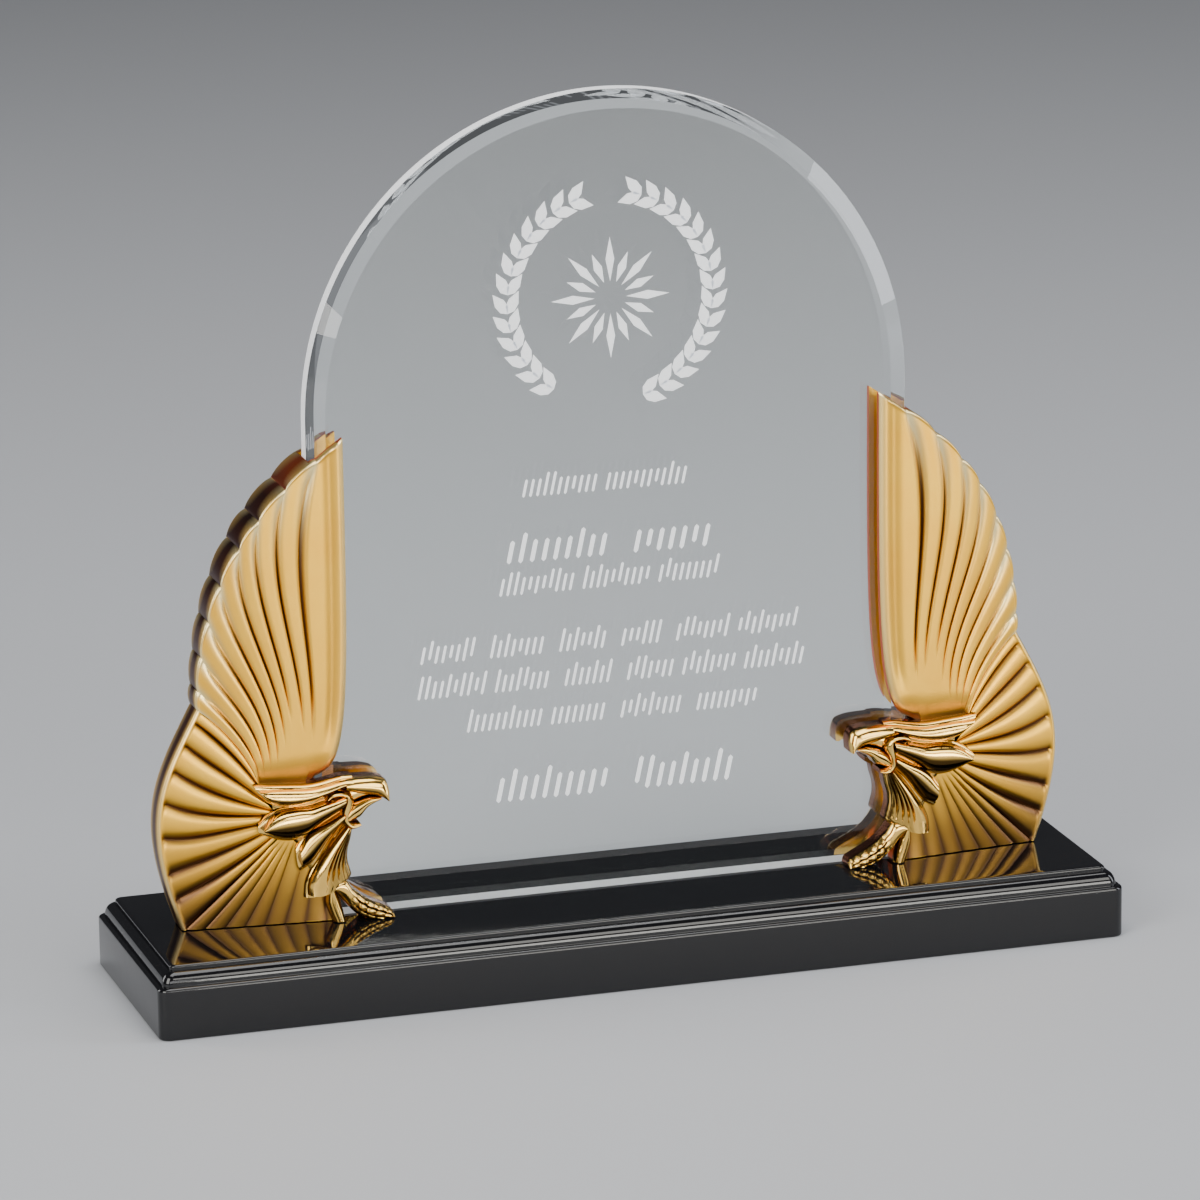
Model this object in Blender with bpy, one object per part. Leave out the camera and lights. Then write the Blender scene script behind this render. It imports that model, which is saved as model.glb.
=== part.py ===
"""Arched glass award plate held by two gold eagles on a black base.

Every piece stands in one frame: metres, +Z up, X along the base, -Y the front.
The origin lies under the middle of the base.
"""

import math

import bmesh
import bpy
import numpy as np
from mathutils import Matrix

# Base: a slab with a coved moulding on it
BASE_LENGTH = 0.280
BASE_DEPTH = 0.074
SLAB_HEIGHT = 0.0147
MOULDING_HEIGHT = 0.0053
MOULDING_INSET = 0.0050
BASE_CORNER = 0.0030
EDGE_ROUND = 0.0010
COVE_START = 0.30
COVE_WIDTH = 0.50
COVE_HEIGHT = 0.72
LIP_INSET = 0.84
COVE_STEPS = 5
BASE_TOP = SLAB_HEIGHT + MOULDING_HEIGHT

# Glass plate: straight sides, half-round top
PLATE_WIDTH = 0.173
PLATE_HEIGHT = 0.2265
PLATE_THICKNESS = 0.0096
BEVEL_WIDTH = 0.0050
BEVEL_DEPTH = 0.0026
ARCH_STEPS = 48

# Space left between pieces that touch
GAP = 0.0003

# Eagle: drawn on a grid DRAWN_HEIGHT units high, across from the wing's inner edge, up from the base's top
EAGLE_HEIGHT = 0.136
DRAWN_HEIGHT = 136.0
UNIT = EAGLE_HEIGHT / DRAWN_HEIGHT
GRIP = 0.0095
WING_INNER_X = PLATE_WIDTH / 2 - GRIP

# Wing outline: the upper curve from tip to notch and the lower fan's curve from notch to base.
# The lines of the fan start on the root line, at the shares of ROOT_SPREAD for the shares of ROOT_ORDER.
UPPER_EDGE = ((0.3, 136.2), (25.2, 119.7), (41.4, 100.0), (42.4, 62.7))
FAN_EDGE = ((42.4, 62.7), (53.7, 41.6), (59.9, 32.3), (48.0, -0.6))
ROOT_LINE = ((10.0, 41.0), (21.0, 43.0), (23.0, 20.0), (5.0, 9.0))
ROOT_ORDER = (0.0, 0.4, 0.8, 1.0)
ROOT_SPREAD = (0.0, 0.40, 0.68, 1.0)
LEADING_EDGE = ((0.2, 44.0), (0.0, 62.0))
LEADING_SHARE = 0.08
UPPER_FEATHERS = 8
FAN_PLEATS = 7
FOOT_PLEATS = 8
FOOT_INNER = 3.0
SCALLOP = 1.0
GROOVE = 1.5
FOOT_GROOVE = 0.8
ROWS = 8

# The leading feather's lines: share of its width and groove depth there as a share of GROOVE
LEADING_LINES = ((0.0, 0.25), (0.22, 0.0), (0.5, 0.35), (0.8, 0.0))

# Degrees that the lines' ends turn from the straight way between root and tip, which curves the feathers
ROOT_TURN = -12.0
TIP_TURN = -22.0
TIP_TURN_LAST = -8.0

# A groove's depth follows a sine from this share of its half wave, over this span, from root to tip
GROOVE_START = 0.12
GROOVE_SPAN = 0.62

# The upper edge starts to thin after this share of it
THINNING_START = 0.35

# Faces that turn less than this many degrees count as one flat face
FLAT_ANGLE = 1.0

# Half thickness of the wing at its root, along the upper edge, round the fan and at the inner foot
HALF_ROOT = 8.6
HALF_UPPER = 8.0
HALF_FAN = 4.2
HALF_FOOT = 9.6


def remove_everything():
    for obj in list(bpy.data.objects):
        bpy.data.objects.remove(obj, do_unlink=True)


def bezier(points, t):
    """Point at t on the cubic curve with these four control points."""
    p = np.asarray(points, dtype=float)
    t = np.asarray(t, dtype=float)[..., None]
    a = (1 - t) ** 3 * p[0]
    b = 3 * (1 - t) ** 2 * t * p[1]
    c = 3 * (1 - t) * t ** 2 * p[2]
    return a + b + c + t ** 3 * p[3]


def make_material(name, colour, roughness, metallic=0.0, transmission=0.0):
    material = bpy.data.materials.new(name)
    material.use_nodes = True
    shader = material.node_tree.nodes["Principled BSDF"]
    shader.inputs["Base Color"].default_value = (*colour, 1.0)
    shader.inputs["Roughness"].default_value = roughness
    shader.inputs["Metallic"].default_value = metallic
    shader.inputs["Transmission Weight"].default_value = transmission
    return material


def make_object(name, points, faces, material=None):
    """A mesh object of triangles turned outwards, so that no bent face meets a cut."""
    mesh = bpy.data.meshes.new(name)
    mesh.from_pydata([tuple(map(float, p)) for p in points], [], faces)
    edit = bmesh.new()
    edit.from_mesh(mesh)
    bmesh.ops.remove_doubles(edit, verts=edit.verts, dist=1e-7)
    bmesh.ops.recalc_face_normals(edit, faces=edit.faces)
    bmesh.ops.triangulate(edit, faces=edit.faces)
    edit.to_mesh(mesh)
    edit.free()
    obj = bpy.data.objects.new(name, mesh)
    bpy.context.scene.collection.objects.link(obj)
    if material:
        mesh.materials.append(material)
    return obj


def shade_round(obj, degrees):
    obj.data.shade_smooth()
    obj.data.set_sharp_from_angle(angle=math.radians(degrees))


def ring_faces(first, second, count, closed=True):
    """Quads between two rings of vertices that start at these indices."""
    last = count if closed else count - 1
    faces = []
    for i in range(last):
        j = (i + 1) % count
        faces.append((first + i, first + j, second + j, second + i))
    return faces


def rounded_rectangle(half_x, half_y, radius, steps=4):
    """Corner points of a rectangle with round corners, counterclockwise."""
    points = []
    for corner, (sx, sy) in enumerate(((1, 1), (-1, 1), (-1, -1), (1, -1))):
        for step in range(steps):
            angle = math.radians(90 * (corner + step / (steps - 1)))
            x = sx * (half_x - radius) + radius * math.cos(angle)
            y = sy * (half_y - radius) + radius * math.sin(angle)
            points.append((x, y))
    return points


def base_profile():
    """(inset, height) pairs from the underside to the flat top."""
    profile = [(EDGE_ROUND * 0.5, 0.0), (0.0, EDGE_ROUND * 0.5)]
    for step in range(4):
        angle = math.radians(30 * step)
        inset = EDGE_ROUND * (1 - math.cos(angle))
        height = SLAB_HEIGHT - EDGE_ROUND * (1 - math.sin(angle))
        profile.append((inset, height))
    cove_start = MOULDING_INSET * COVE_START
    cove_width = MOULDING_INSET * COVE_WIDTH
    cove_height = MOULDING_HEIGHT * COVE_HEIGHT
    lip_inset = MOULDING_INSET * LIP_INSET
    profile.append((cove_start, SLAB_HEIGHT))
    for step in range(1, COVE_STEPS + 1):
        angle = math.radians(90 * step / COVE_STEPS)
        inset = cove_start + cove_width * (1 - math.cos(angle))
        profile.append((inset, SLAB_HEIGHT + cove_height * math.sin(angle)))
    profile.append((lip_inset, SLAB_HEIGHT + cove_height))
    profile.append((lip_inset, BASE_TOP - EDGE_ROUND * 0.6))
    profile.append((lip_inset + EDGE_ROUND * 0.2, BASE_TOP - EDGE_ROUND * 0.2))
    profile.append((MOULDING_INSET, BASE_TOP))
    return profile


def make_base(material):
    points = []
    faces = []
    count = None
    for level, (inset, height) in enumerate(base_profile()):
        radius = BASE_CORNER - inset * 0.3
        ring = rounded_rectangle(BASE_LENGTH / 2 - inset, BASE_DEPTH / 2 - inset, radius)
        count = len(ring)
        points += [(x, y, height) for x, y in ring]
        if level:
            faces += ring_faces((level - 1) * count, level * count, count)
    faces.append(tuple(range(count - 1, -1, -1)))
    faces.append(tuple(range(len(points) - count, len(points))))
    obj = make_object("base", points, faces, material)
    shade_round(obj, 32)
    return obj


def arch_outline(inset):
    """Outline of the plate moved inwards, from the left foot over the arch to the right foot."""
    radius = PLATE_WIDTH / 2 - inset
    spring = BASE_TOP + PLATE_HEIGHT - PLATE_WIDTH / 2
    foot = BASE_TOP + GAP
    points = [(-radius, foot)]
    for step in range(ARCH_STEPS + 1):
        angle = math.pi * (1 - step / ARCH_STEPS)
        points.append((radius * math.cos(angle), spring + radius * math.sin(angle)))
    points.append((radius, foot))
    return points


def make_plate(material):
    face_y = PLATE_THICKNESS / 2
    rim_y = face_y - BEVEL_DEPTH
    layers = ((BEVEL_WIDTH, -face_y), (0.0, -rim_y), (0.0, rim_y), (BEVEL_WIDTH, face_y))
    points = []
    count = 0
    for inset, y in layers:
        outline = arch_outline(inset)
        count = len(outline)
        points += [(x, y, z) for x, z in outline]
    faces = []
    for layer in range(3):
        faces += ring_faces(layer * count, (layer + 1) * count, count, closed=False)
    faces.append(tuple(range(count)))
    faces.append(tuple(range(4 * count - 1, 3 * count - 1, -1)))
    foot = [layer * count for layer in range(4)]
    foot += [layer * count + count - 1 for layer in (3, 2, 1, 0)]
    faces.append(tuple(foot))
    obj = make_object("arch_plate", points, faces, material)
    shade_round(obj, 20)
    return obj


def wing_columns():
    """Tip, half thickness, groove share and bends of each root-to-tip line, from the leading edge round."""
    columns = []

    def add(tip, half, groove, root_bend=0.0, tip_bend=0.0):
        columns.append((np.array(tip, float), half, groove, root_bend, tip_bend))

    # leading feather: broad, with a shallow hollow along it
    for share, groove in LEADING_LINES:
        add(bezier(UPPER_EDGE, share * LEADING_SHARE), HALF_UPPER, groove, 0.0, TIP_TURN * share)
    # long upper feathers: a groove, then a crest whose tip stands out from the outline
    for index in range(UPPER_FEATHERS):
        for part in (0.0, 0.5):
            share = (index + part) / UPPER_FEATHERS
            t = LEADING_SHARE + (1 - LEADING_SHARE) * share
            tip = bezier(UPPER_EDGE, t)
            ahead = bezier(UPPER_EDGE, t + 0.01) - tip
            normal = np.array((-ahead[1], ahead[0])) / np.hypot(*ahead)
            if part:
                tip = tip + normal * SCALLOP
            fade = min(1.0, max(0.0, (share - THINNING_START) / (1 - THINNING_START)))
            half = HALF_UPPER + (HALF_FAN - HALF_UPPER) * fade
            root_bend = ROOT_TURN * math.sin(math.pi * share)
            tip_bend = TIP_TURN + (TIP_TURN_LAST - TIP_TURN) * share
            add(tip, half, 0.0 if part else 1.0, root_bend, tip_bend)
    # lower fan down to the base
    for index in range(2 * FAN_PLEATS):
        share = index / (2 * FAN_PLEATS)
        groove = 0.0 if index % 2 else 1.0
        add(bezier(FAN_EDGE, share), HALF_FAN, groove, 0.0, TIP_TURN_LAST * (1 - share) ** 2)
    # pleats that end on the base
    for index in range(2 * FOOT_PLEATS + 1):
        share = index / (2 * FOOT_PLEATS)
        corner = FAN_EDGE[3]
        tip = (corner[0] + (FOOT_INNER - corner[0]) * share, corner[1])
        half = HALF_FAN + (HALF_FOOT - HALF_FAN) * share
        add(tip, half, 0.0 if index % 2 else FOOT_GROOVE)
    return columns


def turned(vector, degrees):
    """The vector turned clockwise, which leans an upright line outwards."""
    angle = math.radians(degrees)
    return np.array((vector[0] * math.cos(angle) + vector[1] * math.sin(angle),
                     vector[1] * math.cos(angle) - vector[0] * math.sin(angle)))


def wing_line(root, tip, root_bend, tip_bend, along):
    """Curve from root to tip whose ends are turned away from the straight line by these angles."""
    third = (tip - root) / 3
    return bezier((root, root + turned(third, root_bend), tip - turned(third, tip_bend), tip), along)


def leading_edge(along):
    """The wing's inner edge: out of the head in a short curve, then straight up to the tip."""
    return bezier((ROOT_LINE[0], *LEADING_EDGE, UPPER_EDGE[0]), along)


def wing_shell():
    """The wing's front and back joined round the edge: drawn points (across, depth, up) and faces."""
    columns = wing_columns()
    along = np.linspace(0.0, 1.0, ROWS)
    order = np.arange(len(columns)) / (len(columns) - 1)
    roots = bezier(ROOT_LINE, np.interp(order, ROOT_ORDER, ROOT_SPREAD))
    front = []
    for index, (tip, half, groove, root_bend, tip_bend) in enumerate(columns):
        if index == 0:
            line = leading_edge(along)
        else:
            line = wing_line(roots[index], tip, root_bend, tip_bend, along)
        depth = HALF_ROOT + (half - HALF_ROOT) * along ** 1.5
        depth = depth - GROOVE * groove * np.sin(math.pi * (GROOVE_START + GROOVE_SPAN * along))
        front.append(np.column_stack((line[:, 0], -depth, line[:, 1])))
    front = np.array(front)
    back = front * np.array((1.0, -1.0, 1.0))
    wide, tall = front.shape[:2]
    points = np.concatenate((front.reshape(-1, 3), back.reshape(-1, 3)))
    offset = wide * tall
    faces = []
    for i in range(wide - 1):
        for j in range(tall - 1):
            a, b = i * tall + j, (i + 1) * tall + j
            faces.append((a, b, b + 1, a + 1))
            faces.append((offset + a + 1, offset + b + 1, offset + b, offset + a))
    rim = [i * tall for i in range(wide)]
    rim += [(wide - 1) * tall + j for j in range(1, tall)]
    rim += [i * tall + tall - 1 for i in range(wide - 2, -1, -1)]
    rim += [j for j in range(tall - 2, 0, -1)]
    for i, start in enumerate(rim):
        end = rim[(i + 1) % len(rim)]
        faces.append((start, end, end + offset, start + offset))
    return points, faces


def leaf(path, widths, edge, crown, flutes=0, flute_depth=0.0, sections=8, across=5):
    """Leaf-shaped form along a curve, as thick as 2 * edge at its sides and 2 * crown along its middle.

    Its half width is read from the widths by linear interpolation. Flutes are grooves that run along it.
    """
    t = np.linspace(0.0, 1.0, sections)
    centre = bezier(path, t)
    ahead = np.gradient(centre, axis=0)
    normal = np.column_stack((-ahead[:, 1], ahead[:, 0])) / np.hypot(ahead[:, 0], ahead[:, 1])[:, None]
    half = np.interp(t, np.linspace(0.0, 1.0, len(widths)), widths)
    v = np.linspace(-1.0, 1.0, across)
    arch = 1 - v ** 2
    if flutes:
        arch = arch - flute_depth * (0.5 - 0.5 * np.cos(math.pi * flutes * (v + 1)))
    rise = (crown - edge) * np.sqrt(half / max(widths))
    rings = []
    for i in range(sections):
        flat = centre[i] + normal[i] * (v * half[i])[:, None]
        depth = edge + rise[i] * arch
        near = np.column_stack((flat[:, 0], -depth, flat[:, 1]))
        far = np.column_stack((flat[:, 0], depth, flat[:, 1]))
        rings.append(np.concatenate((near, far[::-1])))
    count = 2 * across
    faces = []
    for i in range(sections - 1):
        faces += ring_faces(i * count, (i + 1) * count, count)
    faces.append(tuple(range(count - 1, -1, -1)))
    faces.append(tuple(range((sections - 1) * count, sections * count)))
    return np.concatenate(rings), faces


def eagle_forms():
    """The drawn forms joined to the wing: head, beak, crest, bib, chest, leg and foot."""
    return {
        "crest_upper": leaf(((-3.0, 38.6), (9.0, 41.2), (14.0, 35.0), (27.6, 40.2)),
                            (0.8, 1.4, 2.1, 2.4, 2.0, 0.2), 8.9, 10.2),
        "crest_middle": leaf(((0.5, 34.9), (9.0, 34.4), (16.0, 28.2), (26.8, 28.4)),
                             (1.4, 2.3, 3.7, 4.2, 3.4, 0.5), 9.1, 11.0),
        "crest_lower": leaf(((2.5, 31.0), (7.0, 27.4), (11.6, 23.0), (15.6, 15.6)),
                            (1.2, 2.2, 3.1, 3.1, 0.3), 9.3, 11.1, sections=7),
        "bib": leaf(((2.4, 27.0), (5.0, 21.0), (9.4, 15.0), (7.7, 9.4)),
                    (1.5, 2.7, 4.0, 5.4, 6.6), 9.5, 11.4, 4, 0.35, 6, 9),
        "chest": leaf(((7.5, 38.0), (13.0, 32.0), (13.0, 20.0), (5.6, 9.0)),
                      (4.8, 7.2, 7.2, 5.2, 3.6), 8.1, 8.8, sections=6),
        "skull": leaf(((6.0, 36.6), (-2.0, 39.6), (-9.2, 38.4), (-8.8, 33.3)),
                      (2.6, 2.8, 2.8, 2.2, 0.3), 8.0, 9.9),
        "cheek": leaf(((0.6, 37.0), (0.0, 34.0), (3.0, 32.0), (3.6, 27.4)),
                      (1.8, 2.6, 2.2, 1.6), 8.3, 10.3, sections=5),
        "lip": leaf(((-6.6, 35.2), (-3.4, 34.6), (-0.6, 32.4), (2.6, 29.4)),
                    (0.7, 1.4, 1.6, 1.0), 8.2, 9.3, sections=5),
        "jaw": leaf(((4.6, 28.4), (3.0, 26.2), (0.6, 25.8), (-1.5, 27.3)),
                    (1.3, 1.1, 0.9, 0.3), 8.4, 10.0, sections=5),
        "thigh": leaf(((7.4, 11.4), (6.6, 7.0), (4.6, 3.0), (2.8, -1.2)),
                      (1.6, 2.0, 1.8, 1.3), 9.7, 11.0, sections=5),
        "leg": leaf(((3.8, 12.6), (1.0, 9.0), (-0.6, 5.4), (-3.6, 2.6)),
                    (2.0, 2.2, 1.9, 1.7), 9.2, 11.6, sections=5),
        "foot": leaf(((-1.2, 4.0), (-4.0, 3.2), (-7.0, 2.4), (-10.4, -0.1)),
                     (1.6, 2.1, 2.0, 1.1), 8.8, 11.9, sections=6),
    }


def block(name, x0, x1, y0, y1, z0, z1):
    """A box used to cut with."""
    points = [(x, y, z) for x in (x0, x1) for y in (y0, y1) for z in (z0, z1)]
    faces = [(0, 1, 3, 2), (4, 6, 7, 5), (0, 4, 5, 1), (2, 3, 7, 6), (0, 2, 6, 4), (1, 5, 7, 3)]
    return make_object(name, points, faces)


def combine(target, others, operation):
    """Joins or cuts with the EXACT solver, keeps the result as the target's mesh and removes the others."""
    for other in others:
        modifier = target.modifiers.new(operation, "BOOLEAN")
        modifier.operation = operation
        modifier.solver = "EXACT"
        modifier.object = other
    graph = bpy.context.evaluated_depsgraph_get()
    result = bpy.data.meshes.new_from_object(target.evaluated_get(graph))
    target.modifiers.clear()
    target.data = result
    for other in others:
        bpy.data.objects.remove(other, do_unlink=True)


def tidy_mesh(obj):
    """Merges points that fall together and joins faces that lie in one plane."""
    edit = bmesh.new()
    edit.from_mesh(obj.data)
    bmesh.ops.remove_doubles(edit, verts=edit.verts, dist=2e-6)
    bmesh.ops.dissolve_degenerate(edit, dist=2e-6, edges=edit.edges)
    bmesh.ops.dissolve_limit(edit, angle_limit=math.radians(FLAT_ANGLE), verts=edit.verts, edges=edit.edges)
    bmesh.ops.triangulate(edit, faces=edit.faces)
    edit.to_mesh(obj.data)
    edit.free()


def make_right_eagle(material):
    """The right-hand casting: wing and forms joined, then cut for the plate's edge and for the base."""

    def placed(points):
        across, depth, up = points.T
        return np.column_stack((WING_INNER_X + across * UNIT, depth * UNIT, BASE_TOP + up * UNIT))

    points, faces = wing_shell()
    eagle = make_object("eagle_right", placed(points), faces, material)
    forms = [make_object(form, placed(shape[0]), shape[1]) for form, shape in eagle_forms().items()]
    combine(eagle, forms, "UNION")
    reach = PLATE_WIDTH / 2 + GAP
    half = PLATE_THICKNESS / 2 + GAP
    slot = block("slot", -reach, reach, -half, half, 0.0, BASE_TOP + PLATE_HEIGHT)
    floor = BASE_TOP + GAP
    ground = block("ground", -BASE_LENGTH, BASE_LENGTH, -BASE_DEPTH, BASE_DEPTH, -SLAB_HEIGHT, floor)
    combine(eagle, [slot, ground], "DIFFERENCE")
    tidy_mesh(eagle)
    shade_round(eagle, 35)
    return eagle


def make_left_eagle(right):
    """The same casting mirrored across the middle of the trophy."""
    mesh = right.data.copy()
    mesh.transform(Matrix.Scale(-1.0, 4, (1.0, 0.0, 0.0)))
    mesh.flip_normals()
    eagle = bpy.data.objects.new("eagle_left", mesh)
    bpy.context.scene.collection.objects.link(eagle)
    return eagle


remove_everything()
LACQUER = make_material("black_lacquered_wood", (0.012, 0.012, 0.014), 0.06)
GLASS = make_material("clear_glass", (0.93, 0.95, 0.95), 0.02, transmission=1.0)
GOLD = make_material("gold_plated_casting", (0.80, 0.55, 0.24), 0.25, metallic=1.0)
make_base(LACQUER)
make_plate(GLASS)
make_left_eagle(make_right_eagle(GOLD))
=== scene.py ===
# %% [markdown]
# An award with an arched glass plate, held at both sides by a gold eagle, on a black base.
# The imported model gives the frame: one body, and four nodes for the base, the plate and the two castings.
# This lesson dresses those nodes. Each shape is a function on a grid, worked out with numpy.

# %% Load the frame
import math

import bmesh
import bpy
import numpy as np
from mathutils import Matrix, Vector


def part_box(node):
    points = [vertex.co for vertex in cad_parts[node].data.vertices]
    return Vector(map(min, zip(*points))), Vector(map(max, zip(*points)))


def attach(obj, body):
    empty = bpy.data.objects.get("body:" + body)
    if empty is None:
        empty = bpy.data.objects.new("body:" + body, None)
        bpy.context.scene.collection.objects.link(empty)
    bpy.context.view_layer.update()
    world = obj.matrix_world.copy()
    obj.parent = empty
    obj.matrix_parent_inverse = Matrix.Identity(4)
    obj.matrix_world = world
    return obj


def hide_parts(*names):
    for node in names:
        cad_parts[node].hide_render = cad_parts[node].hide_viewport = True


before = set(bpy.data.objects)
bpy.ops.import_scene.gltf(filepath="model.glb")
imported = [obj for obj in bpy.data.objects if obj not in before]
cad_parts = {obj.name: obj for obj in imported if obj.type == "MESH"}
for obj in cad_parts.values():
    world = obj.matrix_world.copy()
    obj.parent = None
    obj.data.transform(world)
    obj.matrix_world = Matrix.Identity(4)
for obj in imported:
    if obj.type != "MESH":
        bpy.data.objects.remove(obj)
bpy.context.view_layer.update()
BASE_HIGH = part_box("base")[1]
PLATE_LOW, PLATE_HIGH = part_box("arch_plate")
MM = 0.001
BASE_TOP = BASE_HIGH[2]
PLATE_HALF = PLATE_HIGH[0]
PLATE_FACE = PLATE_HIGH[1]
GAP = 0.3 * MM
print("base top %.1f mm, plate half width %.1f mm, half thickness %.1f mm"
      % (BASE_TOP / MM, PLATE_HALF / MM, PLATE_FACE / MM))

# %% [markdown]
# The camera stands a little to the left of the front and looks down on the award.
# A long lens keeps the arch from spreading. The pose is built from three angles and a distance, so it can be
# checked against the photograph's own edges.

# %% Camera
AZIMUTH, ELEVATION, ROLL = math.radians(-17.19), math.radians(15.19), math.radians(-0.71)
DISTANCE = 1.905
FOCAL_PIXELS, IMAGE_PIXELS = 6874.0, 1200.0
SENSOR = 36.0                   # mm
AIM = Vector((0.0, 0.0, 0.120))
ASIDE = (0.0022, 0.0175)        # how far the camera slides to the left and down, in metres

forward = Vector((-math.sin(AZIMUTH) * math.cos(ELEVATION), math.cos(AZIMUTH) * math.cos(ELEVATION),
                  -math.sin(ELEVATION)))
level = Vector((math.cos(AZIMUTH), math.sin(AZIMUTH), 0.0))
upright = level.cross(forward)
right = math.cos(ROLL) * level + math.sin(ROLL) * upright
above = math.cos(ROLL) * upright - math.sin(ROLL) * level
spot = AIM - forward * DISTANCE - right * ASIDE[0] - above * ASIDE[1]
lens = bpy.data.cameras.new("studio_camera")
lens.sensor_width = SENSOR
lens.lens = SENSOR * FOCAL_PIXELS / IMAGE_PIXELS
lens.clip_start = 0.05
camera = bpy.data.objects.new("studio_camera", lens)
pose = [[column[row] for column in (right, above, -forward, spot)] for row in range(3)]
camera.matrix_world = Matrix(pose + [[0, 0, 0, 1]])
bpy.context.scene.collection.objects.link(camera)
bpy.context.scene.camera = camera
print("camera %.2f m away with a %.0f mm lens" % (DISTANCE, lens.lens))

# %% [markdown]
# A material is a small tree of nodes. These helpers add a node, mix two colours and add a bump.
# A number that is the same all over a surface is set on the shader itself.

# %% Material helpers
def colour(code):
    """Linear colour of an sRGB hex code: c / 12.92 below 0.04045, else ((c + 0.055) / 1.055) ** 2.4."""
    parts = np.array([int(code[i:i + 2], 16) / 255 for i in (1, 3, 5)])
    linear = np.where(parts <= 0.04045, parts / 12.92, ((parts + 0.055) / 1.055) ** 2.4)
    return (*map(float, linear), 1.0)


def add_node(tree, kind, settings=None, links=None):
    """Adds one node.

    Settings name a socket, by name or number, or a property. Links say what feeds a socket.
    """
    node = tree.nodes.new(kind)
    for name, value in (settings or {}).items():
        if isinstance(name, int) or name in node.inputs:
            node.inputs[name].default_value = value
        else:
            setattr(node, name, value)
    for name, source in (links or {}).items():
        tree.links.new(source, node.inputs[name])
    return node


def new_material(name, settings):
    """A material whose shader has these values. Returns the material, its tree and the shader."""
    material = bpy.data.materials.new(name)
    material.use_nodes = True
    shader = material.node_tree.nodes["Principled BSDF"]
    for socket, value in settings.items():
        shader.inputs[socket].default_value = value
    return material, material.node_tree, shader


def object_place(tree):
    """Each point's place in metres."""
    return add_node(tree, "ShaderNodeTexCoord").outputs["Object"]


def noise(tree, place, scale, detail=2.0):
    """Noise from 0 to 1, whose bumps are about 1 / scale metres apart."""
    node = add_node(tree, "ShaderNodeTexNoise", {"Scale": scale, "Detail": detail}, {"Vector": place})
    return node.outputs["Fac"]


def blend(tree, share, first, second):
    """The first colour where the share is 0, the second where it is 1. Each is a hex code or a socket."""
    node = add_node(tree, "ShaderNodeMix", {"data_type": "RGBA"}, {"Factor": share})
    for number, value in ((6, first), (7, second)):
        if isinstance(value, str):
            node.inputs[number].default_value = colour(value)
        else:
            tree.links.new(value, node.inputs[number])
    return node.outputs[2]


def add_bump(tree, shader, height, strength, distance):
    """Feeds the shader a bump from this height."""
    bump = add_node(tree, "ShaderNodeBump", {"Strength": strength, "Distance": distance}, {"Height": height})
    tree.links.new(bump.outputs["Normal"], shader.inputs["Normal"])


print("mid grey #808080 is %.3f in linear light" % colour("#808080")[0])

# %% [markdown]
# Polished metal and glass show what is around them more than their own colour.
# A dim grey room gives the dark bands in the gold, and large soft lamps give the pale ones.
# One lamp stands at the left and one at the right, one hangs above, and a wide one fills the front.
# A narrow one lights the plate's rim from behind. The feathers mirror two at the front right, one low and one
# high.

# %% Floor, room and lamps
FLOOR_HALF, FLOOR_HEIGHT = 14.0, -0.0001

world = bpy.data.worlds.new("grey_room")
world.use_nodes = True
room = world.node_tree.nodes["Background"]
room.inputs["Color"].default_value = colour("#8E9096")
room.inputs["Strength"].default_value = 0.26
bpy.context.scene.world = world


def soft_lamp(name, place, size, power, tint="#FFFFFF"):
    """A rectangular lamp of this size in metres and power in watts that faces the award's middle."""
    lamp = bpy.data.lights.new(name, "AREA")
    lamp.shape = "RECTANGLE"
    lamp.size, lamp.size_y = size
    lamp.energy = power
    lamp.color = colour(tint)[:3]
    obj = bpy.data.objects.new(name, lamp)
    obj.location = place
    obj.rotation_euler = (AIM - Vector(place)).to_track_quat("-Z", "Y").to_euler()
    bpy.context.scene.collection.objects.link(obj)


soft_lamp("left_lamp", (-1.25, -0.95, 0.80), (0.9, 1.2), 26.0, "#FFFDF8")
soft_lamp("right_lamp", (1.35, -0.45, 0.65), (0.5, 1.2), 12.0, "#F6F8FF")
soft_lamp("top_lamp", (0.1, -0.1, 1.5), (1.4, 0.9), 22.0)
soft_lamp("front_lamp", (-0.45, -2.5, 0.66), (1.5, 0.7), 14.0)
soft_lamp("rim_lamp", (-1.3, 0.75, 0.55), (0.5, 1.0), 9.0)
soft_lamp("low_lamp", (0.85, -2.15, 0.27), (1.3, 0.46), 22.0, "#FFFDF6")
soft_lamp("high_lamp", (0.85, -2.0, 1.25), (1.3, 0.75), 18.0, "#FFFDF6")

corners = [(x * FLOOR_HALF, y * FLOOR_HALF, FLOOR_HEIGHT) for x, y in ((-1, -1), (1, -1), (1, 1), (-1, 1))]
floor_mesh = bpy.data.meshes.new("floor")
floor_mesh.from_pydata(corners, [], [(0, 1, 2, 3)])
floor = bpy.data.objects.new("floor", floor_mesh)
bpy.context.scene.collection.objects.link(floor)
paint, tree, shader = new_material("matt_painted_floor", {"Base Color": colour("#A9ABAF"), "Roughness": 0.62})
# roller stipple, about 4 mm between bumps
add_bump(tree, shader, noise(tree, object_place(tree), 250.0), 0.05, 0.0003)
floor_mesh.materials.append(paint)
print("floor and seven lamps placed")

# %% [markdown]
# Every surface goes through the same few helpers.
# A grid of points becomes quads, a closed ring of points becomes a band, and a mesh is filled in one call.
# Cuts use a solid cutter. The result is kept as a plain mesh, so nothing stays live on a finished piece.

# %% Mesh helpers
MERGE = 1e-7                    # metres: points closer than this become one


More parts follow.
